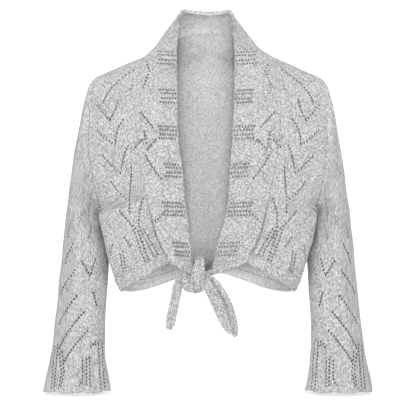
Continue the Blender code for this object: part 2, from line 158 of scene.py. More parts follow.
def bodyRow(index, front, count):
    # one row of points from the collar seam, or the middle of the back, to the side
    row = dict(zip(body["columns"], body["rows"][index]))
    power = body["roundness"]
    depth = row["frontDepth"] if front else row["backDepth"]
    seamY = abs(row["seamFrontY"] if front else row["seamBackY"])
    startX = row["collarX"] if front else 0.0
    startZ = row["collarZ"] if front else row["centreZ"]
    share = seamY / depth if depth else 0.0
    atSeam = (1 - share**power) ** (1 / power)
    fold = row["pinch"] * math.exp(-((seamY / body["pinchReach"]) ** 3))
    width = (row["seamX"] + fold) / atSeam
    first = math.asin((startX / width) ** (power / 2))
    last = math.acos(share ** (power / 2))
    turn = np.linspace(first, last, body["curveSteps"])
    x = width * np.sin(turn) ** (2 / power)
    y = depth * np.abs(np.cos(turn)) ** (2 / power)
    x -= row["pinch"] * np.exp(-((y / body["pinchReach"]) ** 3))
    x[-1], y[-1] = row["seamX"], seamY
    flat = evenly(np.stack((x, -y if front else y, 0 * x), axis=1), count)
    share = np.linspace(0, 1, count + 1)
    curve = np.sin(share * math.pi / 2)
    if not front:
        curve = np.sin(np.minimum(share / body["droopEnd"], 1) * math.pi / 2) ** body["droopPower"]
    hang = share + row["droop"] * (curve - share)
    corner = ramp(share, body["cornerFrom"], 1 - body["cornerFrom"]) ** 2
    flat[:, 2] = startZ + (row["seamZ"] - startZ) * hang + body["cornerLift"].get(index, 0) * corner
    return flat


def bodySections(front, columns, neckColumns=0):
    rows = [bodyRow(k, front, columns) for k in range(len(body["rows"]))]
    if not front:
        neck = evenly(spline(body["neckline"], fineRows(body["neckline"])), neckColumns)
        shoulder = bodyRow(0, True, columns - neckColumns)
        rows[0] = np.concatenate((neck[:-1], shoulder))
    return np.array(rows)


def bodyCourses():
    # fractional row numbers, even over the front and back, and where the armhole and panel end
    fine = fineRows(body["rows"])
    length = np.zeros(len(fine))
    for front in (True, False):
        rows = [bodyRow(k, front, body["measureColumns"]) for k in range(len(body["rows"]))]
        legs = np.linalg.norm(np.diff(spline(rows, fine), axis=0), axis=2).mean(axis=1)
        length[1:] += np.cumsum(legs) / 2
    at, ends = [0.0], []
    stops = (0, body["underarm"], body["hemSeam"], body["hemEdge"])
    for start, end in zip(stops, stops[1:]):
        first, last = np.interp((start, end), fine, length)
        count = round((last - first) / body["stitch"])
        at.extend(np.interp(np.linspace(first, last, count + 1)[1:], length, fine))
        at[-1] = float(end)
        ends.append(len(at) - 1)
    return np.array(at), ends[0], ends[1]


# Sleeve rings below the armhole, down to the cuff.
sleeve = {
    "columns": "outerX outerZ innerX innerZ bow front back".split(),
    "rings": table(
        (211, -48, 168, -308, 36, 69, 72),
        (221, -75, 173, -315, 33, 69, 72),
        (231, -120, 177, -324, 30, 67, 70),
        (242, -172, 180, -336, 26, 63, 66),
        (252, -227, 181, -352, 19, 59, 62),
        (260, -280, 182, -372, 10, 55, 57),
        (267, -335, 184, -397, 4, 51, 53),
        (272, -390, 186, -428, 1, 48, 49),
        (277, -440, 188.5, -462, 0, 46, 47),
        (282, -485, 190.5, -498, 0, 45, 45),
        (287, -530, 190.5, -534, 0, 46, 46),
        (293, -565, 188.5, -566, 0, 48, 48),
        (300, -595, 185, -595, 0, 53, 53),
        (304, -618, 182, -618, 0, 57, 57),
    ),
    "armholeRings": 7,
    "courses": 236,
    "halfWales": 72,
    "waves": 7,
    "waveDepth": 2.5,
    "waveDrop": 2.0,
    "waveDropPower": 6,
    "waveRise": 60.0,
    "scallops": 24,
    "scallopDrop": 1.3,
    "scallopRise": 9.0,
    "thickness": 2.2,
}


def armholeForm(seam):
    # a half armhole as shares of its height, of its bow and of its depth
    top, bottom = seam[0], seam[-1]
    height = (top[2] - seam[:, 2]) / (top[2] - bottom[2])
    bow = seam[:, 0] - (top[0] + (bottom[0] - top[0]) * height)
    depth = np.abs(seam[:, 1])
    return np.stack((height, bow / bow.max(), depth / depth.max()), axis=1)


def roundForm(count):
    turn = np.linspace(0, math.pi, count)
    return np.stack(((1 - np.cos(turn)) / 2, np.sin(turn) ** 2, np.sin(turn)), axis=1)


def sleeveRing(index, seams):
    # like the armhole near it, and round further down
    row = dict(zip(sleeve["columns"], sleeve["rings"][index]))
    likeness = max(0.0, 1 - (index + 1) / sleeve["armholeRings"])
    half = []
    for seam, depth in zip(seams, (-row["front"], row["back"])):
        form = armholeForm(seam) * likeness + roundForm(len(seam)) * (1 - likeness)
        x = row["outerX"] + (row["innerX"] - row["outerX"]) * form[:, 0]
        z = row["outerZ"] + (row["innerZ"] - row["outerZ"]) * form[:, 0]
        x += row["bow"] * form[:, 1]
        line = np.stack((x, depth * form[:, 2], z), axis=1)
        half.append(evenly(line, len(seam) - 1))
    return np.concatenate((half[0], half[1][::-1][1:-1]))


def sleeveGrid(frontSeam, backSeam):
    seams = [evenly(seam, sleeve["halfWales"]) for seam in (frontSeam, backSeam)]
    armhole = np.concatenate((seams[0], seams[1][::-1][1:-1]))
    count = len(armhole)
    rings = np.array([armhole] + [sleeveRing(k, seams) for k in range(len(sleeve["rings"]))])
    middle = along(rings[:, count // 4])
    steps = np.linspace(0, middle[-1], sleeve["courses"] + 1)
    grid = spline(rings, np.interp(steps, middle, np.arange(len(rings))))
    left = steps[-1] - steps
    share = np.clip(1 - left / sleeve["waveRise"], 0, 1)[:, None]
    turn = np.arange(count) / count * sleeve["waves"] * math.pi
    outward = (grid - grid.mean(axis=1, keepdims=True)) * (1, 1, 0)
    wave = sleeve["waveDepth"] * share**2 * (np.abs(np.sin(turn)) * 2 - 1)
    grid += unit(outward) * wave[..., None]
    grid[..., 2] -= sleeve["waveDrop"] * share ** sleeve["waveDropPower"] * np.abs(np.sin(turn))
    edge = np.clip(1 - left / sleeve["scallopRise"], 0, 1)[:, None]
    shell = np.abs(np.sin(np.arange(count) / count * sleeve["scallops"] * math.pi))
    grid[..., 2] -= sleeve["scallopDrop"] * edge * (shell - 0.5)
    return grid


# The band that runs up both fronts and round the neck.
collar = {
    # x on the wearer's right, x on the left, y, z, then how far the middle stands out
    "knotEnd": table(
        (26, -6, -121, -398, 0, 0, 0),
        (28, 4, -120.5, -389, 0, -2, 0),
        (28.5, 9, -119.5, -380, 0, -3, 0),
    ),
    "frontEdge": table(
        (29.3, 12.5, -118.5, -369, 0, -3, 0),
        (30.3, 15, -118.5, -356, 0, -3, 0),
        (31.5, 18, -119, -341, 0, -3, 0),
        (33.5, 24.5, -120.5, -320, 0, -4, 0),
        (37, 31.5, -123, -294, 0, -4, 0),
        (41, 35.3, -126, -267, 0, -4, 0),
        (41.7, 36, -126.5, -254, 0, -4, 0),
        (43, 37, -126.5, -237, 0, -4, 0),
        (46.5, 39.5, -125, -204, 0, -4, 0),
        (52.5, 42.6, -119, -160, 0, -4, 0),
        (54, 45.5, -105, -112, 0, -5, 0),
        (55, 47, -83, -67, 0, -5, 2),
        (56, 47.6, -60, -32, 0, -5, 6),
        (57, 48.2, -38, 2, 1, -4, 9),
    ),
    "neckEdge": table(
        (55.5, 48.5, -22, 36, 4, 0, 7),
        (54.5, 48, -8, 66, 6, 3, 4),
        (50.5, 45, 12, 81, 5, 6, 2),
        (41, 37, 34, 88, 2, 6, 1),
        (20, 18.5, 52.5, 87, 1, 6, 1),
        (0, 0, 58, 86, 0, 6, 0),
    ),
    # lower edge between the knot and the hem's corner: x right, x left, y, z
    "foot": table((26, -6, -121, -406), (36, 14, -118, -402), (54, 48, -114, -391)),
    "leftBow": 0.4,
    "wales": 30,
    "rimWales": 4,
    "footCourses": 20,
    "plainShare": 0.5,  # least share of a row that lies outside the rim
    "slant": 84,  # the way the band's stitches run, in degrees
    "rimWidth": 10.5,
    "rimRise": 1.2,
    "rimRound": 1.7,
    "rimThickness": 1.9,
    "groove": (-0.4, -1.0, -0.3),
    "grooveDepth": 1.0,
    # how much of the rolled rim shows along the fronts, and where it grows to the full roll
    "frontRim": 0.2,
    "rimFrom": -20.0,
    "rimTo": 60.0,
    # wales from the free edge over which a cluster's ridge reaches and fades
    "ridgeWales": 24,
    "ridgeFade": 6,
    # rows above the shoulder to which the free edge hides the back
    "hidingRows": 18,
    # the deep shadow beside the knot, as it is seen
    "shadowAt": (4.0, -391.0),
    "shadowSize": (5.0, 7.0),
    "shadow": 0.9,
    "thickness": 2.2,
}


def collarHalf(side, frontSeam, neckSeam, courses):
    # from the knot round to the middle of the neck
    column = 0 if side < 0 else 1
    knotEnd, frontEdge, neckEdge = (collar[k] for k in ("knotEnd", "frontEdge", "neckEdge"))
    foot = np.concatenate((collar["foot"][:, [column, 2, 3]], frontSeam[-1:]))
    end = spline(foot, np.linspace(0, len(foot) - 1, collar["footCourses"] + 1))
    seam = np.concatenate((end[:-1], frontSeam[::-1], neckSeam[::-1][1:]))
    seam[:, 0] *= side
    knotRows = np.linspace(0, len(knotEnd), collar["footCourses"] + 1)
    frontRows = len(knotEnd) + body["hemEdge"] - courses[::-1]
    lastFront = len(knotEnd) + body["hemEdge"]
    neckRows = np.linspace(0, len(neckEdge), len(neckSeam))[1:]
    at = np.concatenate((knotRows[:-1], frontRows, lastFront + neckRows))
    read = spline(np.concatenate((knotEnd, frontEdge, neckEdge)), at)
    edge = np.stack((side * read[:, column], read[:, 2], read[:, 3]), axis=1)
    bow = read[:, 4:7] * (side, 1, 1)
    if side > 0:
        bow[at > lastFront] *= collar["leftBow"]
    c = np.linspace(0, 1, fineSteps + 1)[:, None]
    across = []
    for start, free, out in zip(seam, edge, bow):
        line = start * (1 - c) + free * c + out * 4 * c * (1 - c)
        length = along(line)
        rim = max(1 - collar["rimWidth"] / length[-1], collar["plainShare"])
        shares = np.concatenate(
            (
                np.linspace(0, rim, collar["wales"] + 1),
                np.linspace(rim, 1, collar["rimWales"] + 1)[1:],
            )
        )
        across.append(threaded(line, length, shares * length[-1]))
    return np.array(across)


# The free ends below the knot: x, y, z, width, how deep the strip is folded.
ties = {
    "right": table(
        (-27, -113, -401, 9, 1.0),
        (-38, -117, -404, 14, 2.0),
        (-49, -121, -411, 17, 3.0),
        (-54, -122, -424, 17, 3.0),
        (-58, -121.5, -443, 17, 2.5),
        (-62, -121, -463, 17, 2.0),
        (-66, -120, -482, 17, 2.0),
        (-68, -120, -493, 14, 1.5),
        (-69, -120, -499, 8, 1.0),
    ),
    "left": table(
        (-10, -128.5, -403, 10, 1.0),
        (0, -129, -411, 22, 4.0),
        (8, -128, -423, 30, 7.0),
        (18, -126, -441, 33, 8.0),
        (27, -125, -460, 34, 8.0),
        (34, -124, -478, 32, 7.0),
        (41, -124, -494, 25, 5.0),
        (47, -124, -505, 14, 3.0),
        (50, -124, -511, 5, 1.0),
    ),
    "wales": 16,
    "courses": 52,
    "rise": 0.7,
    "edgeRise": (0.3, 1, 1, 0.3),
    "bendPower": 1.6,
    # where the folded strip creases, from -1 at one edge to 1 at the other, and how deep
    "crease": {"right": (-0.45, 1.2), "left": (0.28, 4.2)},
    "creaseWidth": 0.13,
    "creaseRun": (0.15, 0.95),
    "wander": 0.1,
    "wanderTurn": 5.0,
    "creaseShade": {"right": 0.25, "left": 0.5},
    "thickness": 2.2,
}
# The wrap of the knot: a tall turn in front, and the smaller turn that bulges out under it.
knot = {
    "columns": "x y z height depth width lean lower".split(),
    "turns": ((-17, -121, -396, 50, 34, 23, 0.12, 0.34), (-34, -117, -416, 27, 26, 24, -0.35, 0.1)),
    "crown": 0.16,
    "taper": 0.12,
    "flare": 0.26,
    "around": 96,
    "across": 24,
    # creases round each turn: place from -1 to 1 across it, drift, half width, depth
    "creases": ((-0.55, 0.3, 0.13, 1.5), (0.34, -0.36, 0.11, 1.9)),
    "driftTurn": 4,  # how much further round a crease drifts the further out it lies
    # lumps: their height, how many there are round a turn, how they slant and change across it
    "lump": 1.7,
    "lumps": (3, 2.2, 3.1),
    "shadowDepth": 2.4,
    "shadow": 0.3,
    "thickness": 2.4,
}


def tieGrid(side):
    fine = fineRows(ties[side])
    length = along(spline(ties[side], fine)[:, :3])
    steps = np.linspace(0, length[-1], ties["courses"] + 1)
    read = spline(ties[side], np.interp(steps, length, fine))
    run = unit(np.gradient(read[:, :3], axis=0))
    sideways = unit(np.cross((0, -1, 0), run))
    forward = np.cross(run, sideways)
    across = np.linspace(-1, 1, ties["wales"] + 1)
    place, depth = ties["crease"][side]
    bend = (1 - np.abs(across) ** ties["bendPower"])[None, :] * read[:, 4, None]
    wander = place + ties["wander"] * np.sin(steps / length[-1] * ties["wanderTurn"])
    trough = bell(across[None, :] - wander[:, None], ties["creaseWidth"])
    trough *= np.sin(np.linspace(*ties["creaseRun"], len(steps)) * math.pi)[:, None]
    bend -= depth * trough
    strip = (
        read[:, None, :3]
        + sideways[:, None] * (across[None, :, None] * read[:, 3, None, None] / 2)
        + forward[:, None] * bend[..., None]
    )
    # the strip, and the painted shade along its crease
    return strip, trough * ties["creaseShade"][side]


def knotGrid(row):
    size = dict(zip(knot["columns"], row))
    turn = np.linspace(0, 2 * math.pi, knot["around"], endpoint=False)[:, None]
    across = np.linspace(-1, 1, knot["across"] + 1)[None, :]
    crown = 1 + knot["crown"] * (1 - across**2)
    dip = sum(
        depth * bell(across - place - drift * np.sin(turn + place * knot["driftTurn"]), width)
        for place, drift, width, depth in knot["creases"]
    )
    count, slant, change = knot["lumps"]
    swell = knot["lump"] * np.sin(turn * count + across * slant) * np.cos(across * change)
    grow = crown + (swell - dip) * 2 / (size["height"] + size["depth"])
    longer = 1 + size["lower"] * np.clip(-np.cos(turn), 0, 1) ** 2
    up = np.cos(turn) * grow * longer * size["height"] / 2
    out = np.sin(turn) * grow * size["depth"] / 2
    width = size["width"] / 2 * (
        1 - knot["taper"] * np.cos(turn) ** 2 - knot["flare"] * np.cos(turn)
    )
    x = size["x"] + width * across + size["lean"] * up
    loop = np.stack((x, size["y"] - out, size["z"] + up), axis=2)
    # painted shade in the creases, which goes into the knot's crease mask
    shadow = np.clip(dip / knot["shadowDepth"], 0, 1) * knot["shadow"]
    return loop.transpose(1, 0, 2)[::-1], shadow.T[::-1]


def gridNormals(grid, closed=False):
    around = np.roll(grid, -1, axis=1) - np.roll(grid, 1, axis=1)
    if not closed:
        around = np.gradient(grid, axis=1)
    return unit(np.cross(np.gradient(grid, axis=0), around))


# Soft folds: x, z at one end, x, z at the other, half width, height.
folds = {
    "front": table(
        (243, -231, 250, -435, 9, -3.2), (256, -300, 262, -470, 8, -2.2),
        (228, -330, 214, -420, 12, -3.6), (113, -285, 98, -335, 5, -3.4),
        (98, -335, 78, -380, 4.5, -4.0), (120, -300, 104, -345, 4, 1.8),
        (128, -250, 104, -340, 9, 1.6), (140, -330, 100, -385, 11, 2.4),
        (200, -250, 190, -330, 8, -3.0), (176, -190, 186, -290, 14, -2.4),
        (232, -470, 238, -560, 11, -2.4), (196, -300, 204, -350, 6, 1.4),
        (266, -360, 254, -440, 6, 1.4), (150, -215, 160, -262, 9, 1.0),
        (250, -505, 262, -590, 6, 1.3), (214, -520, 208, -600, 6, -1.4),
        (118, -60, 126, -120, 10, -0.9), (148, -398, 176, -420, 5, -1.2),
        (194, -291, 150, -289, 15, -1.6),
    ),
    "back": table(
        (190, -120, 178, -300, 16, -3.6), (245, -230, 258, -470, 12, -4.0),
        (120, -300, 150, -400, 14, 3.0), (60, -310, 46, -400, 15, -2.6),
        (222, -360, 236, -470, 12, 3.0), (150, -150, 168, -235, 12, -1.6),
        (95, -200, 128, -285, 10, 1.4), (20, -330, 12, -395, 9, 1.4),
        (250, -505, 262, -590, 7, -1.6), (214, -520, 208, -600, 6, 1.4), (60, -6, 24, 12, 8, -2.2),
        (56, -22, 30, -8, 9, 1.4),
    ),
    "turn": 2.0,
    # slow uneven lumps: how many waves, how fast the fastest are, how far they start apart
    "lumps": 9,
    "lumpRate": 0.1,
    "lumpTurn": 6.28,
    "lumpHeight": 0.55,
    "seed": 23,
}


def nearFold(x, z, fold):
    start = np.array(fold[:2])
    run = np.array(fold[2:4]) - start
    flat = np.stack((x, z), axis=-1) - start
    share = np.clip(flat @ run / (run @ run), 0, 1)
    return np.linalg.norm(flat - share[..., None] * run, axis=-1)


def folded(grid, normals):
    # the folds, and slow uneven lumps such as every knit has; alike on both sides of a seam
    push = np.zeros(grid.shape[:2])
    x, z = np.abs(grid[..., 0]), grid[..., 2]
    for side, sign in (("front", -1), ("back", 1)):
        facing = np.clip(sign * normals[..., 1] * folds["turn"], 0, 1)
        for fold in folds[side]:
            push += fold[5] * bell(nearFold(x, z, fold), fold[4]) * facing
    random = np.random.default_rng(folds["seed"])
    for wave in random.uniform(-folds["lumpRate"], folds["lumpRate"], (folds["lumps"], 3)):
        slow = np.sin(grid @ wave + random.uniform(0, folds["lumpTurn"]))
        push += slow * folds["lumpHeight"] / math.sqrt(folds["lumps"])
    return grid + normals * push[..., None]


print("forms of the pieces")
courses, underarm, hemRow = bodyCourses()
frontGrid = spline(bodySections(True, body["frontWales"]), courses)
backHalf = spline(
    bodySections(False, body["neckWales"] + body["frontWales"], body["neckWales"]), courses
)
backGrid = np.concatenate(((backHalf * flip)[:, ::-1][:, :-1], backHalf), axis=1)[:, ::-1]
middle = body["neckWales"] + body["frontWales"]
sleeveForm = sleeveGrid(frontGrid[: underarm + 1, -1], backHalf[: underarm + 1, -1])
neckSeam = backHalf[0, : body["neckWales"] + 1]
collarLeft, collarRight = (
    collarHalf(side, frontGrid[:, 0], neckSeam, courses) for side in (1, -1)
)
collarGrid = np.concatenate((collarLeft, collarRight[::-1][1:]))
seams = {
    "blend": 7,
    "samples": 200,
    "grooveWidth": 2.4,
    "grooveDepth": 0.45,
    # the crease where the band folds over the fronts, and the painted shade along its line
    "creaseFrom": -256.0,
    "creaseFade": 55.0,
    "creaseDepth": 2.4,
    "creaseFront": 5.0,
    "creaseBand": 2.6,
    "creaseLine": 1.9,
    "creaseShade": 0.55,
}


def resampled(values, count):
    return threaded(values, range(len(values)), np.linspace(0, len(values) - 1, count))


def shareSeam(first, second):
    # the normals of two pieces, counted from their seam inwards, made one along it
    common = resampled(first[0], seams["samples"]) + resampled(second[0], seams["samples"])
    for normals in (first, second):
        seam = unit(resampled(common, normals.shape[1]))
        for k in range(seams["blend"]):
            share = 1 - k / seams["blend"]
            normals[k] = unit(normals[k] * (1 - share) + seam * share)


frontNormals, backNormals, collarNormals = map(gridNormals, (frontGrid, backGrid, collarGrid))
sleeveNormals = wrapped(-gridNormals(sleeveForm, True))
shoulder = collar["footCourses"] + len(courses)
frontAcross, backAcross, collarAcross = (
    normals.transpose(1, 0, 2) for normals in (frontNormals, backNormals, collarNormals)
)
shareSeam(frontNormals, backNormals[:, : body["frontWales"] + 1][:, ::-1])
shareSeam(frontAcross[::-1][:, : underarm + 1], sleeveNormals[:, : sleeve["halfWales"] + 1])
shareSeam(backAcross[:, : underarm + 1], sleeveNormals[:, sleeve["halfWales"] :][:, ::-1])
shareSeam(frontAcross[::-1][:, underarm:], backAcross[:, underarm:])
shareSeam(frontAcross, collarAcross[:, shoulder - len(courses) : shoulder][:, ::-1])
shareSeam(
    backNormals[:, body["frontWales"] : middle + 1],
    collarAcross[:, shoulder - 1 : shoulder + body["neckWales"]],
)
sleeveNormals = sleeveNormals[:, :-1]
backNormals[:, middle:] = (backNormals[:, : middle + 1] * flip)[:, ::-1]
half = len(collarLeft)
collarNormals[half - 1 :] = (collarNormals[:half] * flip)[::-1]

# The openwork, charted in millimetres as the front is seen, on one side of it.
lace = {
    "cameraY": -3100.0,
    "cameraZ": -283.0,
    "pitch": 6.3,
    # x, z at the line's start, x, z at its end, how far its middle bows towards the side
    "lines": table(
        # leaf branches of the front, the outer and the inner one of each leaf
        (138, -28, 194, -88, 10), (205, -93, 182, -121, 0), (167, -84, 180, -118, -2),
        (205, -139, 172, -166, 2), (157, -120, 171, -163, 4), (194, -187, 162, -218, 3),
        (148, -168, 160, -209, 2), (180, -235, 151, -266, 2), (142, -208, 146, -268, -1),
        (145, -270, 146, -290, 0), (164, -288, 134, -321, 2), (120, -266, 127, -318, 3),
        (154, -338, 144, -353, 0), (188, -306, 192, -342, 0), (177, -352, 182, -382, 0),
        (162, -369, 156, -408, 0), (157, -364, 150, -411, 0),
        # diagonals that leave the band's clusters
        (113, -13, 105, -30, 0), (105, -30, 119, -60, 0), (140, -57, 143, -63, 0),
        (122, -107, 98, -133, 0), (91, -157, 109, -174, 0), (122, -157, 134, -170, 0),
        (113, -186, 84, -228, 2), (111, -163, 116, -142, 0), (78, -290, 96, -308, 0),
        # sleeve, from the shoulder to the flare
        (218, -268, 222, -296, 0), (230, -286, 240, -314, 0), (215, -316, 220, -338, 0),
        (252, -300, 262, -336, 2), (253, -350, 264, -384, 2), (234, -382, 217, -408, 0),
        (208, -378, 215, -404, 0), (247, -398, 272, -440, 3), (243, -446, 275, -496, 3),
        (230, -476, 275, -542, 4), (223, -510, 265, -566, 3), (212, -440, 206, -462, 0),
        (232, -566, 232, -600, 0), (231, -600, 238, -613, 0), (199, -528, 208, -536, 0),
        (208, -530, 216, -540, 0),
    ),
    # double columns of eyelets: x, z at the top, x, z at the foot, width
    "ladders": table(
        (134, -320, 111, -384, 6.4), (121, -322, 94, -374, 6.4), (281, -536, 287, -612, 6.0),
        (272, -550, 268, -586, 5.0), (268, -586, 274, -613, 5.0), (222, -560, 221, -613, 6.0),
        (200, -534, 195, -613, 6.6),
    ),
    "ladderPitch": 6.6,
    # a stitch takes a mark when it faces its side by this much and is this near to it, and the
    # eyelets of the two walls, as they are seen, stay this far apart
    "facing": 0.12,
    "reach": 3.0,
    "apart": 4.5,
    # half width of the plain middle of the back
    "plainBack": 88.0,
    # seen height of each cluster of the band, and its eyelets from the edge inwards
    "clusters": ((-6, 7), (-77, 6), (-144, 7), (-214, 6), (-286, 8), (-360, 7)),
    # each row of a cluster: how far above its middle, and how far its first eyelet is from the edge
    "clusterRows": ((10.9, 7.0), (4.4, 4.2), (-4.4, 4.0), (-11.6, 6.8)),
    "clusterPitch": 5.5,
    "clusterSlope": 0.05,
    "ridgeStitches": 4,
    "ridgeFar": 3.4,
    "ridgeWidth": 1.5,
    "ridgeHeight": 0.75,
    "barHeight": 0.9,
    "barRows": 1.4,
    # half of an eyelet's width and height, and the same in the band
    "opening": (1.38, 1.85),
    "bandOpening": (1.38, 1.9),
}

# How the wales lean in the leaves, from each seen z down to the next: x of the leaves' spine,
# outer and inner lean in degrees.
lean = {
    "body": table(
        (60, 150, 8, 8),
        (-28, 172, 38, -14),
        (-120, 181, 42, -16),
        (-170, 170, 42, -16),
        (-218, 159, 42, -16),
        (-268, 148, 42, -10),
        (-320, 124, 12, 24),
        (-400, 100, 12, 24),
    ),
    "sleeve": table(
        (0, 262, 20, -14),
        (-230, 238, 20, -14),
        (-330, 228, 24, -22),
        (-410, 214, 34, 12),
        (-545, 214, 2, -2),
        (-640, 214, 2, -2),
    ),
}


def leaned(zones, seen):
    # the lean of each stitch, in radians
    x, z = np.abs(seen[..., 0]), seen[..., 1]
    spine = np.interp(-z, -zones[:, 0], zones[:, 1])
    zone = np.clip(np.searchsorted(-zones[:, 0], -z, side="right") - 1, 0, len(zones) - 1)
    return np.radians(np.where(x > spine, zones[zone, 2], zones[zone, 3]))


def eyeletLine(line, pitch):
    x0, z0, x1, z1, bow = line
    count = max(2, round(math.hypot(x1 - x0, z1 - z0) / pitch) + 1)
    share = np.linspace(0, 1, count)
    x = x0 + (x1 - x0) * share + bow * 4 * share * (1 - share)
    return np.stack((x, z0 + (z1 - z0) * share), axis=1)


def ladder(line):
    x0, z0, x1, z1, width = line
    first = eyeletLine((x0 - width / 2, z0, x1 - width / 2, z1, 0), lace["ladderPitch"])
    second = eyeletLine((x0 + width / 2, z0, x1 + width / 2, z1, 0), lace["ladderPitch"])
    second[:, 1] -= lace["ladderPitch"] / 2
    return np.concatenate((first, second))


def seenFromFront(points):
    scale = -lace["cameraY"] / (points[..., 1] - lace["cameraY"])
    x = points[..., 0] * scale
    z = (points[..., 2] - lace["cameraZ"]) * scale + lace["cameraZ"]
    return np.stack((x, z), axis=-1)


def cellCentres(grid, closed=False):
    grid = wrapped(grid, closed)
    return (grid[:-1, :-1] + grid[1:, :-1] + grid[1:, 1:] + grid[:-1, 1:]) / 4


def plain(grid, closed=False):
    # how far each stitch's eyelet is moved from its middle, nan where there is no eyelet
    return np.full((len(grid) - 1, grid.shape[1] - (0 if closed else 1), 3), np.nan)


print("openwork")
frontShifts, backShifts, collarShifts = map(plain, (frontGrid, backGrid, collarGrid))
sleeveShifts = plain(sleeveForm, True)
cloths = {
    "front": (frontGrid, frontNormals, False, frontShifts),
    "back": (backGrid, backNormals, False, backShifts),
    "sleeve": (sleeveForm, sleeveNormals, True, sleeveShifts),
    "collar": (collarLeft, collarNormals[:half], False, collarShifts[: half - 1]),
}


def punch(names, eyelets, side, apart=()):
    # each eyelet of a chart takes the nearest stitch that faces that side, moved onto its mark
    owners = []
    steps = {}
    for name in names:
        grid, normals, closed, _ = cloths[name]
        centres = cellCentres(grid, closed)
        facing = normals[:-1, : centres.shape[1], 1] * side > lace["facing"]
        charted = seenFromFront(centres) if side < 0 else centres[..., (0, 2)]
        steps[name] = (charted, np.gradient(charted, axis=(0, 1)), np.gradient(centres, axis=(0, 1)))
        for i, j in zip(*np.nonzero(facing)):
            owners.append((charted[i, j], name, i, j))
    tree = KDTree(len(owners))
    for index, owner in enumerate(owners):
        tree.insert((owner[0][0], 0.0, owner[0][1]), index)
    tree.balance()
    for x, z in eyelets:
        _, index, far = tree.find((x, 0.0, z))
        if far < lace["reach"]:
            _, name, i, j = owners[index]
            charted, seenSteps, realSteps = steps[name]
            turn = np.stack([step[i, j] for step in seenSteps], axis=1)
            # at most half a stitch along the row and down
            part = np.clip(np.linalg.solve(turn, np.array((x, z)) - charted[i, j]), -0.5, 0.5)
            shifts = cloths[name][3]
            beside = (shifts[max(i - 1, 0) : i + 2, j, 0], shifts[i, max(j - 1, 0) : j + 2, 0])
            if np.isnan(np.concatenate(beside)).all():
                shifts[i, j] = part[0] * realSteps[0][i, j] + part[1] * realSteps[1][i, j]
    for name in names:
        # nothing shows right through both walls
        grid, normals, closed, shifts = cloths[name]
        seen = seenFromFront(cellCentres(grid, closed))
        facing = normals[:-1, : shifts.shape[1], 1] * side > 0
        for spot in apart:
            shifts[(np.linalg.norm(seen - spot, axis=2) < lace["apart"]) & facing] = np.nan


def clusterMarks(seenEdge):
    # short double rows of eyelets that start at the band's free edge, and their stations
    marks, stations = [], []
    for height, count in lace["clusters"]:
        stations.append(int(np.abs(seenEdge[:, 1] - height).argmin()))
        for above, start in lace["clusterRows"]:
            edge = np.interp(height + above, seenEdge[:, 1], seenEdge[:, 0])
            inward = start + lace["clusterPitch"] * np.arange(count)
            marks.append(
                np.stack((edge + inward, height + above + inward * lace["clusterSlope"]), axis=1)
            )
    return np.concatenate(marks), stations


chart = np.concatenate(
    [eyeletLine(line, lace["pitch"]) for line in lace["lines"]]
    + [ladder(line) for line in lace["ladders"]]
)
punch(("front", "sleeve", "collar"), chart, -1)
seenEdges = [
    seenFromFront((edge * (side, 1, 1))[: shoulder + collar["hidingRows"], -1])
    for side, edge in ((1, collarLeft), (-1, collarRight))
]
marks, stations = clusterMarks(seenEdges[0])
punch(("collar",), marks, -1)
collarShifts = np.where(np.isnan(collarShifts), (collarShifts * flip)[::-1], collarShifts)

# the hidden sides carry the same leaves, and the middle of the back is plain
seenMarks = []
for name in ("front", "sleeve", "collar"):
    grid, _, closed, shifts = cloths[name]
    seenMarks.append(seenFromFront(cellCentres(grid, closed))[np.isfinite(shifts[..., 0])])
hiddenChart = chart[chart[:, 0] > lace["plainBack"]]
punch(("back", "sleeve"), hiddenChart, 1, np.concatenate(seenMarks))
backShifts = np.where(np.isnan(backShifts), (backShifts * flip)[:, ::-1], backShifts)


def nearHoles(grid, shifts, closed):
    # distance from each point of a piece to its nearest eyelet, within a few stitches
    reach, nowhere = lace["ridgeStitches"], 1e6
    spots = np.where(np.isnan(shifts), nowhere, cellCentres(grid, closed) + shifts)
    spots = np.pad(spots, ((reach, reach + 1), (0, 0), (0, 0)), constant_values=nowhere)
    if closed:
        spots = np.concatenate((spots[:, -reach:], spots, spots[:, :reach]), axis=1)
    else:
        spots = np.pad(spots, ((0, 0), (reach, reach + 1), (0, 0)), constant_values=nowhere)
    rows, columns = grid.shape[:2]
    far = np.full((rows, columns), nowhere)
    for i in range(2 * reach):
        for j in range(2 * reach):
            spot = spots[i : i + rows, j : j + columns]
            far = np.minimum(far, np.linalg.norm(grid - spot, axis=2))
    return far


def opened(grid, shifts, closed, size):
    # the strands round each eyelet are drawn aside
    push = np.zeros_like(grid)
    shared = np.full(grid.shape[:2], 1e-9)
    centres = cellCentres(grid, closed) + shifts
    columns = grid.shape[1]
    wide, high = size
    for i, j in zip(*np.nonzero(np.isfinite(shifts[..., 0]))):
        k = (j + 1) % columns
        down = unit(grid[i + 1, j] + grid[i + 1, k] - grid[i, j] - grid[i, k])
        across = unit(grid[i, k] + grid[i + 1, k] - grid[i, j] - grid[i + 1, j])
        for row, below in ((i, -1), (i + 1, 1)):
            for column, beyond in ((j, -1), (k, 1)):
                corner = centres[i, j] + down * high * below + across * wide * beyond
                push[row, column] += corner - grid[row, column]
                shared[row, column] += 1
    return grid + push / np.maximum(shared, 1)[..., None]


def openworkRelief(grid, shifts, closed=False):
    # the stitches worked together beside each eyelet stand up in a soft ridge
    far = nearHoles(grid, shifts, closed)
    return bell(far - lace["ridgeFar"], lace["ridgeWidth"]) * lace["ridgeHeight"]


def measured(grid, axis):
    # the way along each row or column from its start
    run = np.cumsum(np.linalg.norm(np.diff(grid, axis=axis), axis=2), axis=axis)
    return np.pad(run, ((1, 0), (0, 0)) if axis == 0 else ((0, 0), (1, 0)))


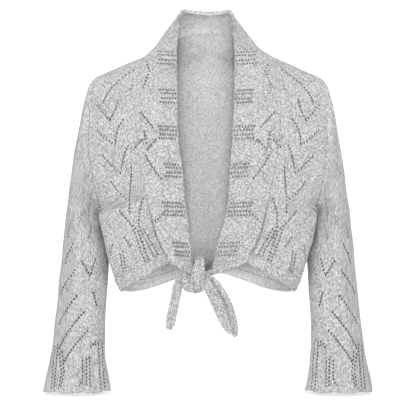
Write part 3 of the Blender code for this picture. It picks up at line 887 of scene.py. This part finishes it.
def rowsDown(grid):
    # the way from the first row down to each point, square to the rows
    across = unit(np.gradient(grid, axis=1))
    across = (across[1:] + across[:-1]) / 2
    step = np.diff(grid, axis=0)
    step -= (step * across).sum(axis=2, keepdims=True) * across
    return np.pad(np.cumsum(np.linalg.norm(step, axis=2), axis=0), ((1, 0), (0, 0)))


def faceCorners(values):
    return np.stack((values[:-1, :-1], values[1:, :-1], values[1:, 1:], values[:-1, 1:]), axis=-1)


def placed(name, data):
    made = bpy.data.objects.new(name, data)
    bpy.context.scene.collection.objects.link(made)
    return made


def clothPiece(name, form, grid, normals, raised, materials, shifts=None, closed=False, **more):
    # outer skin of one quad for each stitch, with its eyelets left out, then Solidify inwards
    name += "_knit"
    if shifts is None:
        shifts = plain(grid, closed)
    points = opened(grid, shifts, closed, more.get("opening", lace["opening"]))
    points += normals * raised[..., None]
    index = np.arange(points[..., 0].size).reshape(points.shape[:2])
    corners = faceCorners(wrapped(index, closed))
    whole = wrapped(grid, closed)
    around = measured(whole, 1)
    columns = np.arange(corners.shape[1])
    start = columns * 0 + more.get("startColumn", 0)
    if closed:
        # each side of a tube is counted from its own middle
        quarter = len(columns) // 4
        start = np.where(columns < 2 * quarter, quarter, 3 * quarter)
    begun = around[:, start]
    begun = np.stack((begun[:-1], begun[1:], begun[1:], begun[:-1]), axis=-1)
    wale = (faceCorners(around) - begun) / body["stitch"]
    down = rowsDown(whole)
    if more.get("bothEnds"):
        down = np.minimum(down, down[-1:] - down)
    course = faceCorners(down) / body["stitch"]
    turn = (np.zeros(corners.shape[:2]) + more.get("slant", 0))[..., None]
    stitches = np.stack(
        (
            wale * np.cos(turn) + course * np.sin(turn),
            wale * np.sin(turn) - course * np.cos(turn),
        ),
        axis=-1,
    )
    kept = np.isnan(shifts[..., 0])
    used, faces = np.unique(corners[kept], return_inverse=True)
    faces = faces.reshape(-1, 4)
    data = bpy.data.meshes.new(name)
    data.from_pydata((points.reshape(-1, 3)[used] * metre).tolist(), [], faces.tolist())
    uv = data.uv_layers.new(name="stitches")
    uv.data.foreach_set("uv", stitches[kept].astype(np.float32).ravel())
    near = np.isin(index, corners[~kept])
    # masks of painted shade, for the inside and in creases, and the points beside the eyelets
    spread = {"hollow": more.get("hollow", 0), "crease": more.get("crease", 0), "beside": near}
    for key, value in spread.items():
        value = (np.zeros(points.shape[:2]) + value).reshape(-1)[used]
        data.attributes.new(key, "FLOAT", "POINT").data.foreach_set("value", value)
    data.shade_smooth()
    for material in materials:
        data.materials.append(material)
    made = placed(name, data)
    solid = made.modifiers.new("thickness", "SOLIDIFY")
    solid.thickness = form["thickness"] * metre
    solid.offset = -1
    if len(materials) > 1:
        solid.material_offset = 1
        solid.material_offset_rim = 2
        data.materials.append(eyeletWallShade)
    if "thicker" in more:
        most = more["thicker"].max()
        group = made.vertex_groups.new(name="thickness")
        share = np.round(more["thicker"] / most, 2).reshape(-1)[used]
        for level in np.unique(share):
            group.add(np.nonzero(share == level)[0].tolist(), float(level), "REPLACE")
        solid.thickness = form["thickness"] * most * metre
        solid.vertex_group = "thickness"
        solid.thickness_vertex_group = 0.0
    bpy.context.view_layer.objects.active = made
    bpy.ops.object.modifier_apply(modifier=solid.name)
    # rim faces beside the eyelets keep the dark wall material, painted shade; other rims take the
    # yarn
    beside = made.data.attributes["beside"].data
    for face in made.data.polygons:
        if face.material_index == 2 and not all(beside[k].value > 0.5 for k in face.vertices):
            face.material_index = 0
    made.data.attributes.remove(made.data.attributes["beside"])
    return made


class Wire:
    # a shader socket that can be added, multiplied and so on
    def __init__(self, tree, socket):
        self.tree = tree
        self.socket = socket

    def node(self, kind, settings=None, output=0, **links):
        made = self.tree.nodes.new(kind)
        for key, value in (settings or {}).items():
            setattr(made, key, value)
        for key, value in links.items():
            name = int(key[1:]) if key[0] == "n" and key[1:].isdigit() else key.replace("_", " ")
            if isinstance(value, Wire):
                self.tree.links.new(value.socket, made.inputs[name])
            else:
                made.inputs[name].default_value = value
        return Wire(self.tree, made.outputs[output])

    def maths(self, operation, first, second=0.0):
        return self.node("ShaderNodeMath", {"operation": operation}, n0=first, n1=second)

    def __add__(self, other):
        return self.maths("ADD", self, other)

    def __sub__(self, other):
        return self.maths("SUBTRACT", self, other)

    def __mul__(self, other):
        return self.maths("MULTIPLY", self, other)

    def __rsub__(self, other):
        return self.maths("SUBTRACT", other, self)

    __radd__ = __add__
    __rmul__ = __mul__

    def mixed(self, first, second):
        # this value as a factor between two colours
        first, second = ((*end, 1) if isinstance(end, tuple) else end for end in (first, second))
        return self.node(
            "ShaderNodeMix", {"data_type": "RGBA"}, output=2, n0=self, n6=first, n7=second
        )


# Marled yarn: the darkest and the lightest colour of each part, then how strong each kind of marl
# is, how strong the painted shade of the stitches' relief and ribs is, and how the yarn is knitted.
yarn = {
    "body": ((0.31, 0.31, 0.307), (0.85, 0.85, 0.842)),
    # the sleeves' copy of the yarn is painted lighter than the body's, painted light
    "sleeve": ((0.33, 0.33, 0.327), (0.89, 0.89, 0.883)),
    "band": ((0.30, 0.30, 0.297), (0.85, 0.85, 0.842)),
    # the purl side: a lighter, slightly warmer copy of the yarn, lighter as painted light
    "inside": ((0.49, 0.49, 0.48), (0.95, 0.948, 0.93)),
    # the collar's inside: a darker copy of the inside yarn, painted shade
    "collarInsideShaded": ((0.36, 0.36, 0.353), (0.80, 0.798, 0.784)),
    # the eyelets' walls: a much darker copy of the yarn, painted shade
    "eyeletWallShade": ((0.13, 0.13, 0.128), (0.34, 0.34, 0.335)),
    "stitchTone": 1.05,
    "fleckTone": 0.85,
    "fibreTone": 0.7,
    "mottleTone": 0.3,
    # painted shade: the stitches' valleys darker and their tops lighter, and the same along the ribs
    "reliefShade": 0.34,
    "ribShade": 0.06,
    "ribWales": 3.0,
    "insideCalm": 0.75,
    # how high a stitch's leg is at its edge, a purl stitch's leg and bar, and any on average
    "legEdge": 0.45,
    "purlLeg": 0.7,
    "purlBar": 0.3,
    "meanHeight": 0.6,
    # the dark colour of painted shade, mixed into the yarn by the inside's and the creases' shade
    # masks
    "hollow": (0.10, 0.10, 0.099),
    "shader": {"Roughness": 0.95, "Sheen Weight": 0.12, "Specular IOR Level": 0.2},
    "bumpDepth": 0.0011,
    "bumpStrength": 0.9,
    "purlStrength": 0.4,
    "fibreBump": 0.5,
    "ribBump": 0.5,
    "legSlant": 0.62,
    "gauge": 1.3,
    "fleckScale": (0.85, 1.05),
    "fibreScale": 900.0,
    "mottleScale": 24.0,
    "noiseDetail": 2.0,
}


def setSockets(shader, values):
    for key, value in values.items():
        shader.inputs[key].default_value = value


def knitMaterial(name, colours, purl=False):
    material = bpy.data.materials.new(name)
    material.use_nodes = True
    tree = material.node_tree
    shader = tree.nodes["Principled BSDF"]
    start = Wire(tree, None)
    uv = start.node("ShaderNodeUVMap", {"uv_map": "stitches"})
    split = start.node("ShaderNodeSeparateXYZ", n0=uv)
    across = split * yarn["gauge"]
    down = Wire(tree, split.socket.node.outputs[1]) * yarn["gauge"]
    place = start.node("ShaderNodeTexCoord", output=3)
    # each stitch is a V of two legs
    half = start.maths("ABSOLUTE", start.maths("FRACT", across) - 0.5) * 2
    phase = down - half * yarn["legSlant"]
    turn = start.maths("FRACT", phase) * 2 - 1
    leg = 1 - turn * turn
    edge = half * 2 - 1
    if purl:
        height = leg * yarn["purlLeg"] + yarn["purlBar"] * half
    else:
        height = leg * (yarn["legEdge"] + (1 - yarn["legEdge"]) * (1 - edge * edge))
    # broad ribs that run along the leaves
    rib = start.maths("SINE", across * (2 * math.pi / yarn["ribWales"]))
    # marl: a tone for each stitch, flecks along the yarn, fine fibres and slow mottling
    column, row = (start.maths("FLOOR", way) for way in (across, phase))
    cell = start.node("ShaderNodeCombineXYZ", n0=column, n1=row)
    tone = start.node("ShaderNodeTexWhiteNoise", {"noise_dimensions": "2D"}, Vector=cell)
    wide, long = yarn["fleckScale"]
    yarnPlace = start.node("ShaderNodeCombineXYZ", n0=across * wide, n1=phase * long)
    noises = ((yarnPlace, 1.0), (place, yarn["fibreScale"]), (place, yarn["mottleScale"]))
    fleck, fibre, mottle = (
        start.node("ShaderNodeTexNoise", Vector=at, Scale=scale, Detail=yarn["noiseDetail"])
        for at, scale in noises
    )
    calm = yarn["insideCalm"] if purl else 1.0
    # the marl's tones, with painted light and shade from the stitches' relief and along the ribs
    light = (
        0.5
        + (tone - 0.5) * (yarn["stitchTone"] * calm)
        + (fleck - 0.5) * (yarn["fleckTone"] * calm)
        + (fibre - 0.5) * (yarn["fibreTone"] * calm)
        + (mottle - 0.5) * yarn["mottleTone"]
        + (height - yarn["meanHeight"]) * (yarn["reliefShade"] * calm)
        + rib * (yarn["ribShade"] * (0 if purl else 1))
    )
    light = start.maths("MINIMUM", start.maths("MAXIMUM", light, 0.0), 1.0)
    # painted shade: the inside reads its shade mask and the outside its crease mask, and each mixes
    # the yarn's colour towards the dark shade colour
    darker = "hollow" if purl else "crease"
    shade = start.node("ShaderNodeAttribute", {"attribute_name": darker}, output=2)
    colour = shade.mixed(light.mixed(*colours), yarn["hollow"])
    tree.links.new(colour.socket, shader.inputs["Base Color"])
    setSockets(shader, yarn["shader"])
    bump = start.node(
        "ShaderNodeBump",
        Strength=yarn["purlStrength"] if purl else yarn["bumpStrength"],
        Distance=yarn["bumpDepth"],
        Height=height + fibre * yarn["fibreBump"] + rib * (0 if purl else yarn["ribBump"]),
    )
    tree.links.new(bump.socket, shader.inputs["Normal"])
    return material


print("materials")
knitBody = knitMaterial("knitBody", yarn["body"])
knitSleeve = knitMaterial("knitSleeve", yarn["sleeve"])
knitBand = knitMaterial("knitBand", yarn["band"])
knitInside = knitMaterial("knitInside", yarn["inside"], purl=True)
collarInsideShaded = knitMaterial("collarInsideShaded", yarn["collarInsideShaded"], purl=True)
eyeletWallShade = knitMaterial("eyeletWallShade", yarn["eyeletWallShade"], purl=True)


def seamDip(grid, axis, end, width):
    # 1 on a seam at a piece's start or end, falling off beside it
    away = measured(grid, axis)
    if end:
        away = (away[-1:] if axis == 0 else away[:, -1:]) - away
    return bell(away, width)


def bandCrease(grid, end, width):
    # the band folds over the fronts in their lower part: how deep the crease is, and how dark the
    # painted shade along it is
    fold = ramp(-grid[..., 2], -seams["creaseFrom"], seams["creaseFade"])
    depth = seams["creaseDepth"] * fold * seamDip(grid, 1, end, width)
    return depth, seams["creaseShade"] * fold * seamDip(grid, 1, end, seams["creaseLine"])


def mirrored(grid, shifts, normals, slant):
    # the other side's columns run the other way, so that it faces out
    turned = [(values * flip)[:, ::-1] for values in (grid, shifts, normals)]
    return (*turned, -slant[:, ::-1])


# The band below the panels.
hem = {
    "ridges": 1.5,
    "ridgeHeight": 0.6,
    "rise": 0.5,
    "edgeRows": 2,
    "edgeRoll": 0.8,
    "thickness": 2.2,
}


# the band's inside can take painted shade, like the panel above it
def hemBand(name, grid, normals, hollow=0):
    ridges = hem["ridgeHeight"] * np.sin(np.linspace(0, hem["ridges"] * 2 * math.pi, len(grid)))
    ridges[-hem["edgeRows"] :] -= hem["edgeRoll"]
    raised = (ridges + hem["rise"])[:, None] + np.zeros(grid.shape[:2])
    raised[0] = 0
    return clothPiece(name, hem, grid, normals, raised, (knitBand, knitInside), hollow=hollow)


# Painted shade on the inside, as shares of the dark shade colour: the back's behind the fronts,
# beside their edges, at the neck and low down, and then the fronts' and the sleeves'.
insideShade = {
    "behind": 0.62,
    "behindFade": 6.0,
    "edge": 0.46,
    "edgeFade": 6.5,
    "neck": 0.27,
    "neckFrom": -45.0,
    "neckFade": 50.0,
    "hemFrom": -408.0,
    "hemFade": 30.0,
    "lowZ": (-392, -375, -351, -333, -268, -200),
    "low": (0.92, 0.52, 0.3, 0.16, 0.05, 0.0),
    "fronts": 0.4,
    "sleeves": 0.72,
}


# painted shade on the back's inside: where the fronts hide it, beside their edges, at the neck and
# low down in the V
def backShade(grid):
    seen = seenFromFront(grid)
    left, right = (np.interp(seen[..., 1], edge[:, 1], edge[:, 0]) for edge in seenEdges)
    inside = np.where(seen[..., 0] > 0, left, right) - np.abs(seen[..., 0])
    fade = ramp(-inside, 0, insideShade["behindFade"])
    shade = insideShade["edge"] + (insideShade["behind"] - insideShade["edge"]) * fade
    shade *= np.exp(-np.maximum(inside, 0) / insideShade["edgeFade"])
    shade *= ramp(seen[..., 1], insideShade["hemFrom"], insideShade["hemFade"])
    neck = insideShade["neck"] * ramp(seen[..., 1], insideShade["neckFrom"], insideShade["neckFade"])
    low = np.interp(seen[..., 1], insideShade["lowZ"], insideShade["low"]) * (inside > 0)
    return np.maximum(np.maximum(shade, low), np.minimum(shade + neck, insideShade["behind"]))


print("fronts and back")
pieces = {}
panel = slice(hemRow + 1)
frontLean = leaned(lean["body"], seenFromFront(cellCentres(frontGrid)))
leftFront = (frontGrid, frontShifts, frontNormals, frontLean)
for side, (grid, shifts, normals, slant) in (("left", leftFront), ("right", mirrored(*leftFront))):
    name, shaped = "front_" + side, folded(grid, normals)
    relief = openworkRelief(grid, shifts)
    relief -= seams["grooveDepth"] * seamDip(grid, 0, False, seams["grooveWidth"])
    # the fronts take painted shade along the band's crease
    depth, crease = bandCrease(grid, side == "right", seams["creaseFront"])
    relief -= depth
    pieces[name] = clothPiece(
        name, body, shaped[panel], normals[panel], relief[panel], (knitBody, knitInside),
        shifts[:hemRow], slant=slant[:hemRow], hollow=insideShade["fronts"], crease=crease[panel],
    )
    pieces["hem_band_" + side] = hemBand("hem_band_" + side, shaped[hemRow:], normals[hemRow:])

backLean = leaned(lean["body"], seenFromFront(cellCentres(backGrid)))
backLean[:, middle:] *= -1
backLean *= -1
shaped = folded(backGrid, backNormals)
relief = openworkRelief(backGrid, backShifts)
relief -= seams["grooveDepth"] * seamDip(backGrid, 0, False, seams["grooveWidth"])
pieces["back"] = clothPiece(
    "back", body, shaped[panel], backNormals[panel], relief[panel], (knitBody, knitInside),
    backShifts[:hemRow], slant=backLean[:hemRow], hollow=backShade(backGrid[panel]),
    startColumn=middle,
)
pieces["hem_band_back"] = hemBand(
    "hem_band_back", shaped[hemRow:], backNormals[hemRow:], backShade(backGrid[hemRow:])
)

print("sleeves")
sleeveLean = leaned(lean["sleeve"], seenFromFront(cellCentres(sleeveForm, True)))
sleeveLean[:, sleeve["halfWales"] :] *= -1
rightSleeve = (sleeveForm * flip, sleeveShifts * flip, sleeveNormals * flip, sleeveLean)
leftSleeve = (
    np.roll(sleeveForm[:, ::-1], 1, axis=1),
    sleeveShifts[:, ::-1],
    np.roll(sleeveNormals[:, ::-1], 1, axis=1),
    -sleeveLean[:, ::-1],
)
for side, (grid, shifts, normals, slant) in (("left", leftSleeve), ("right", rightSleeve)):
    relief = openworkRelief(grid, shifts, True)
    pieces["sleeve_" + side] = clothPiece(
        "sleeve_" + side, sleeve, folded(grid, normals), normals, relief,
        (knitSleeve, knitInside), shifts, True, slant=slant, hollow=insideShade["sleeves"],
    )

print("collar")
columns = collarGrid.shape[1]
roll = np.linspace(0, 1, collar["rimWales"] + 1)
rim = np.zeros(columns)
profile = np.clip(1 - (roll * collar["rimRound"] - collar["rimRound"] / 2) ** 2, 0, 1)
rim[-len(roll) :] = np.sqrt(profile) * (roll > 0)
dent = np.zeros(columns)
dent[-len(roll) - 1 : -len(roll) + 2] = collar["groove"]
rise = ramp(collarGrid[:, -1, 2], collar["rimFrom"], collar["rimTo"] - collar["rimFrom"])[:, None]
full = collar["frontRim"] + (1 - collar["frontRim"]) * rise
raised = openworkRelief(collarGrid, collarShifts)
raised += rim * collar["rimRise"] * full + dent * collar["grooveDepth"] * rise
# a ridge between the double rows of each cluster
rows = np.minimum(np.arange(len(collarGrid)), np.arange(len(collarGrid))[::-1])
bars = sum(bell(rows - station, lace["barRows"]) for station in stations)
reach = ramp(np.arange(columns), columns - collar["ridgeWales"], collar["ridgeFade"])
raised += bars[:, None] * reach * lace["barHeight"]
# the band's crease, with painted shade along it
depth, crease = bandCrease(collarGrid, False, seams["creaseBand"])
raised -= depth
# a painted shadow beside the knot, in the band's crease mask
away = (seenFromFront(collarGrid) - collar["shadowAt"]) / collar["shadowSize"]
crease = np.maximum(crease, collar["shadow"] * np.exp(-(away**4).sum(axis=-1)))
pieces["collar"] = clothPiece(
    "collar", collar, folded(collarGrid, collarNormals), collarNormals, raised,
    (knitBody, collarInsideShaded), collarShifts, slant=math.radians(collar["slant"]), crease=crease,
    thicker=1 + rim * collar["rimThickness"] * full, opening=lace["bandOpening"], bothEnds=True,
)

print("ties and knot")
for side in ("left", "right"):
    grid, crease = tieGrid(side)
    edges = np.zeros(grid.shape[:2])
    edges[:, [0, 1, -2, -1]] = ties["rise"] * np.array(ties["edgeRise"])
    pieces["tie_" + side] = clothPiece(
        "tie_" + side, ties, grid, gridNormals(grid), edges, (knitBand,), crease=crease
    )
turns = []
for row in knot["turns"]:
    loop, shadow = knotGrid(row)
    level, outward = np.zeros(loop.shape[:2]), gridNormals(loop, True)
    turns.append(
        clothPiece("knot", knot, loop, outward, level, (knitBand,), closed=True, crease=shadow)
    )
bpy.ops.object.select_all(action="DESELECT")
for turn in turns:
    turn.select_set(True)
bpy.context.view_layer.objects.active = turns[0]
bpy.ops.object.join()
bpy.ops.object.select_all(action="DESELECT")
pieces["knot"] = turns[0]

for name, piece in pieces.items():
    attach(piece, "root")
    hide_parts(name)

# plain pale floor that runs up into the backdrop, lit softly from below as a white table is
studio = {
    "floorZ": -0.6255,
    "frontY": -5.5,
    "bendY": 4.4,
    "bendRadius": 1.4,
    "bendSteps": 12,
    "halfWidth": 9.0,
    "top": 4.5,
    "shader": {
        "Base Color": (0.36, 0.36, 0.36, 1),
        "Roughness": 1.0,
        "Specular IOR Level": 0.0,
        "Emission Color": (1, 1, 1, 1),
        "Emission Strength": 0.73,
    },
    "world": {"Color": (1, 1, 1, 1), "Strength": 0.92},
}


def backdrop():
    bendY, floorZ, radius = (studio[key] for key in ("bendY", "floorZ", "bendRadius"))
    profile = [(studio["frontY"], floorZ), (bendY, floorZ)]
    for k in range(1, studio["bendSteps"] + 1):
        turn = k / studio["bendSteps"] * math.pi / 2
        profile.append((bendY + radius * math.sin(turn), floorZ + radius * (1 - math.cos(turn))))
    profile.append((bendY + radius, studio["top"]))
    points = [(x, y, z) for y, z in profile for x in (-studio["halfWidth"], studio["halfWidth"])]
    faces = [(2 * k, 2 * k + 1, 2 * k + 3, 2 * k + 2) for k in range(len(profile) - 1)]
    data = bpy.data.meshes.new("backdrop")
    data.from_pydata(points, [], faces)
    data.shade_smooth()
    material = bpy.data.materials.new("backdropPaper")
    material.use_nodes = True
    setSockets(material.node_tree.nodes["Principled BSDF"], studio["shader"])
    data.materials.append(material)
    return placed("backdrop", data)


print("studio")
backdrop()
world = bpy.data.worlds.new("studioLight")
world.use_nodes = True
setSockets(world.node_tree.nodes["Background"], studio["world"])
bpy.context.scene.world = world

# broad soft lamps: turn about x and z in degrees, strength, spread
lamps = {"key": (58, -14, 0.95, 30.0), "fill": (87, 5, 1.15, 24.0)}
for name, (tilt, swing, strength, spread) in lamps.items():
    light = bpy.data.lights.new(name, "SUN")
    light.energy = strength
    light.angle = math.radians(spread)
    placed(name, light).rotation_euler = (math.radians(tilt), 0, math.radians(swing))

view = {"distance": 3.1, "height": -0.283, "seenWidth": 0.7696, "sensor": 36.0}
lens = bpy.data.cameras.new("camera")
lens.sensor_width = view["sensor"]
lens.lens = view["sensor"] * view["distance"] / view["seenWidth"]
lens.dof.use_dof = False
camera = placed("camera", lens)
camera.location = (0, -view["distance"], view["height"])
camera.rotation_euler = (math.radians(90), 0, 0)
bpy.context.scene.camera = camera
bpy.context.scene.view_settings.view_transform = "Standard"

print("done", {name: len(piece.data.polygons) for name, piece in pieces.items()})
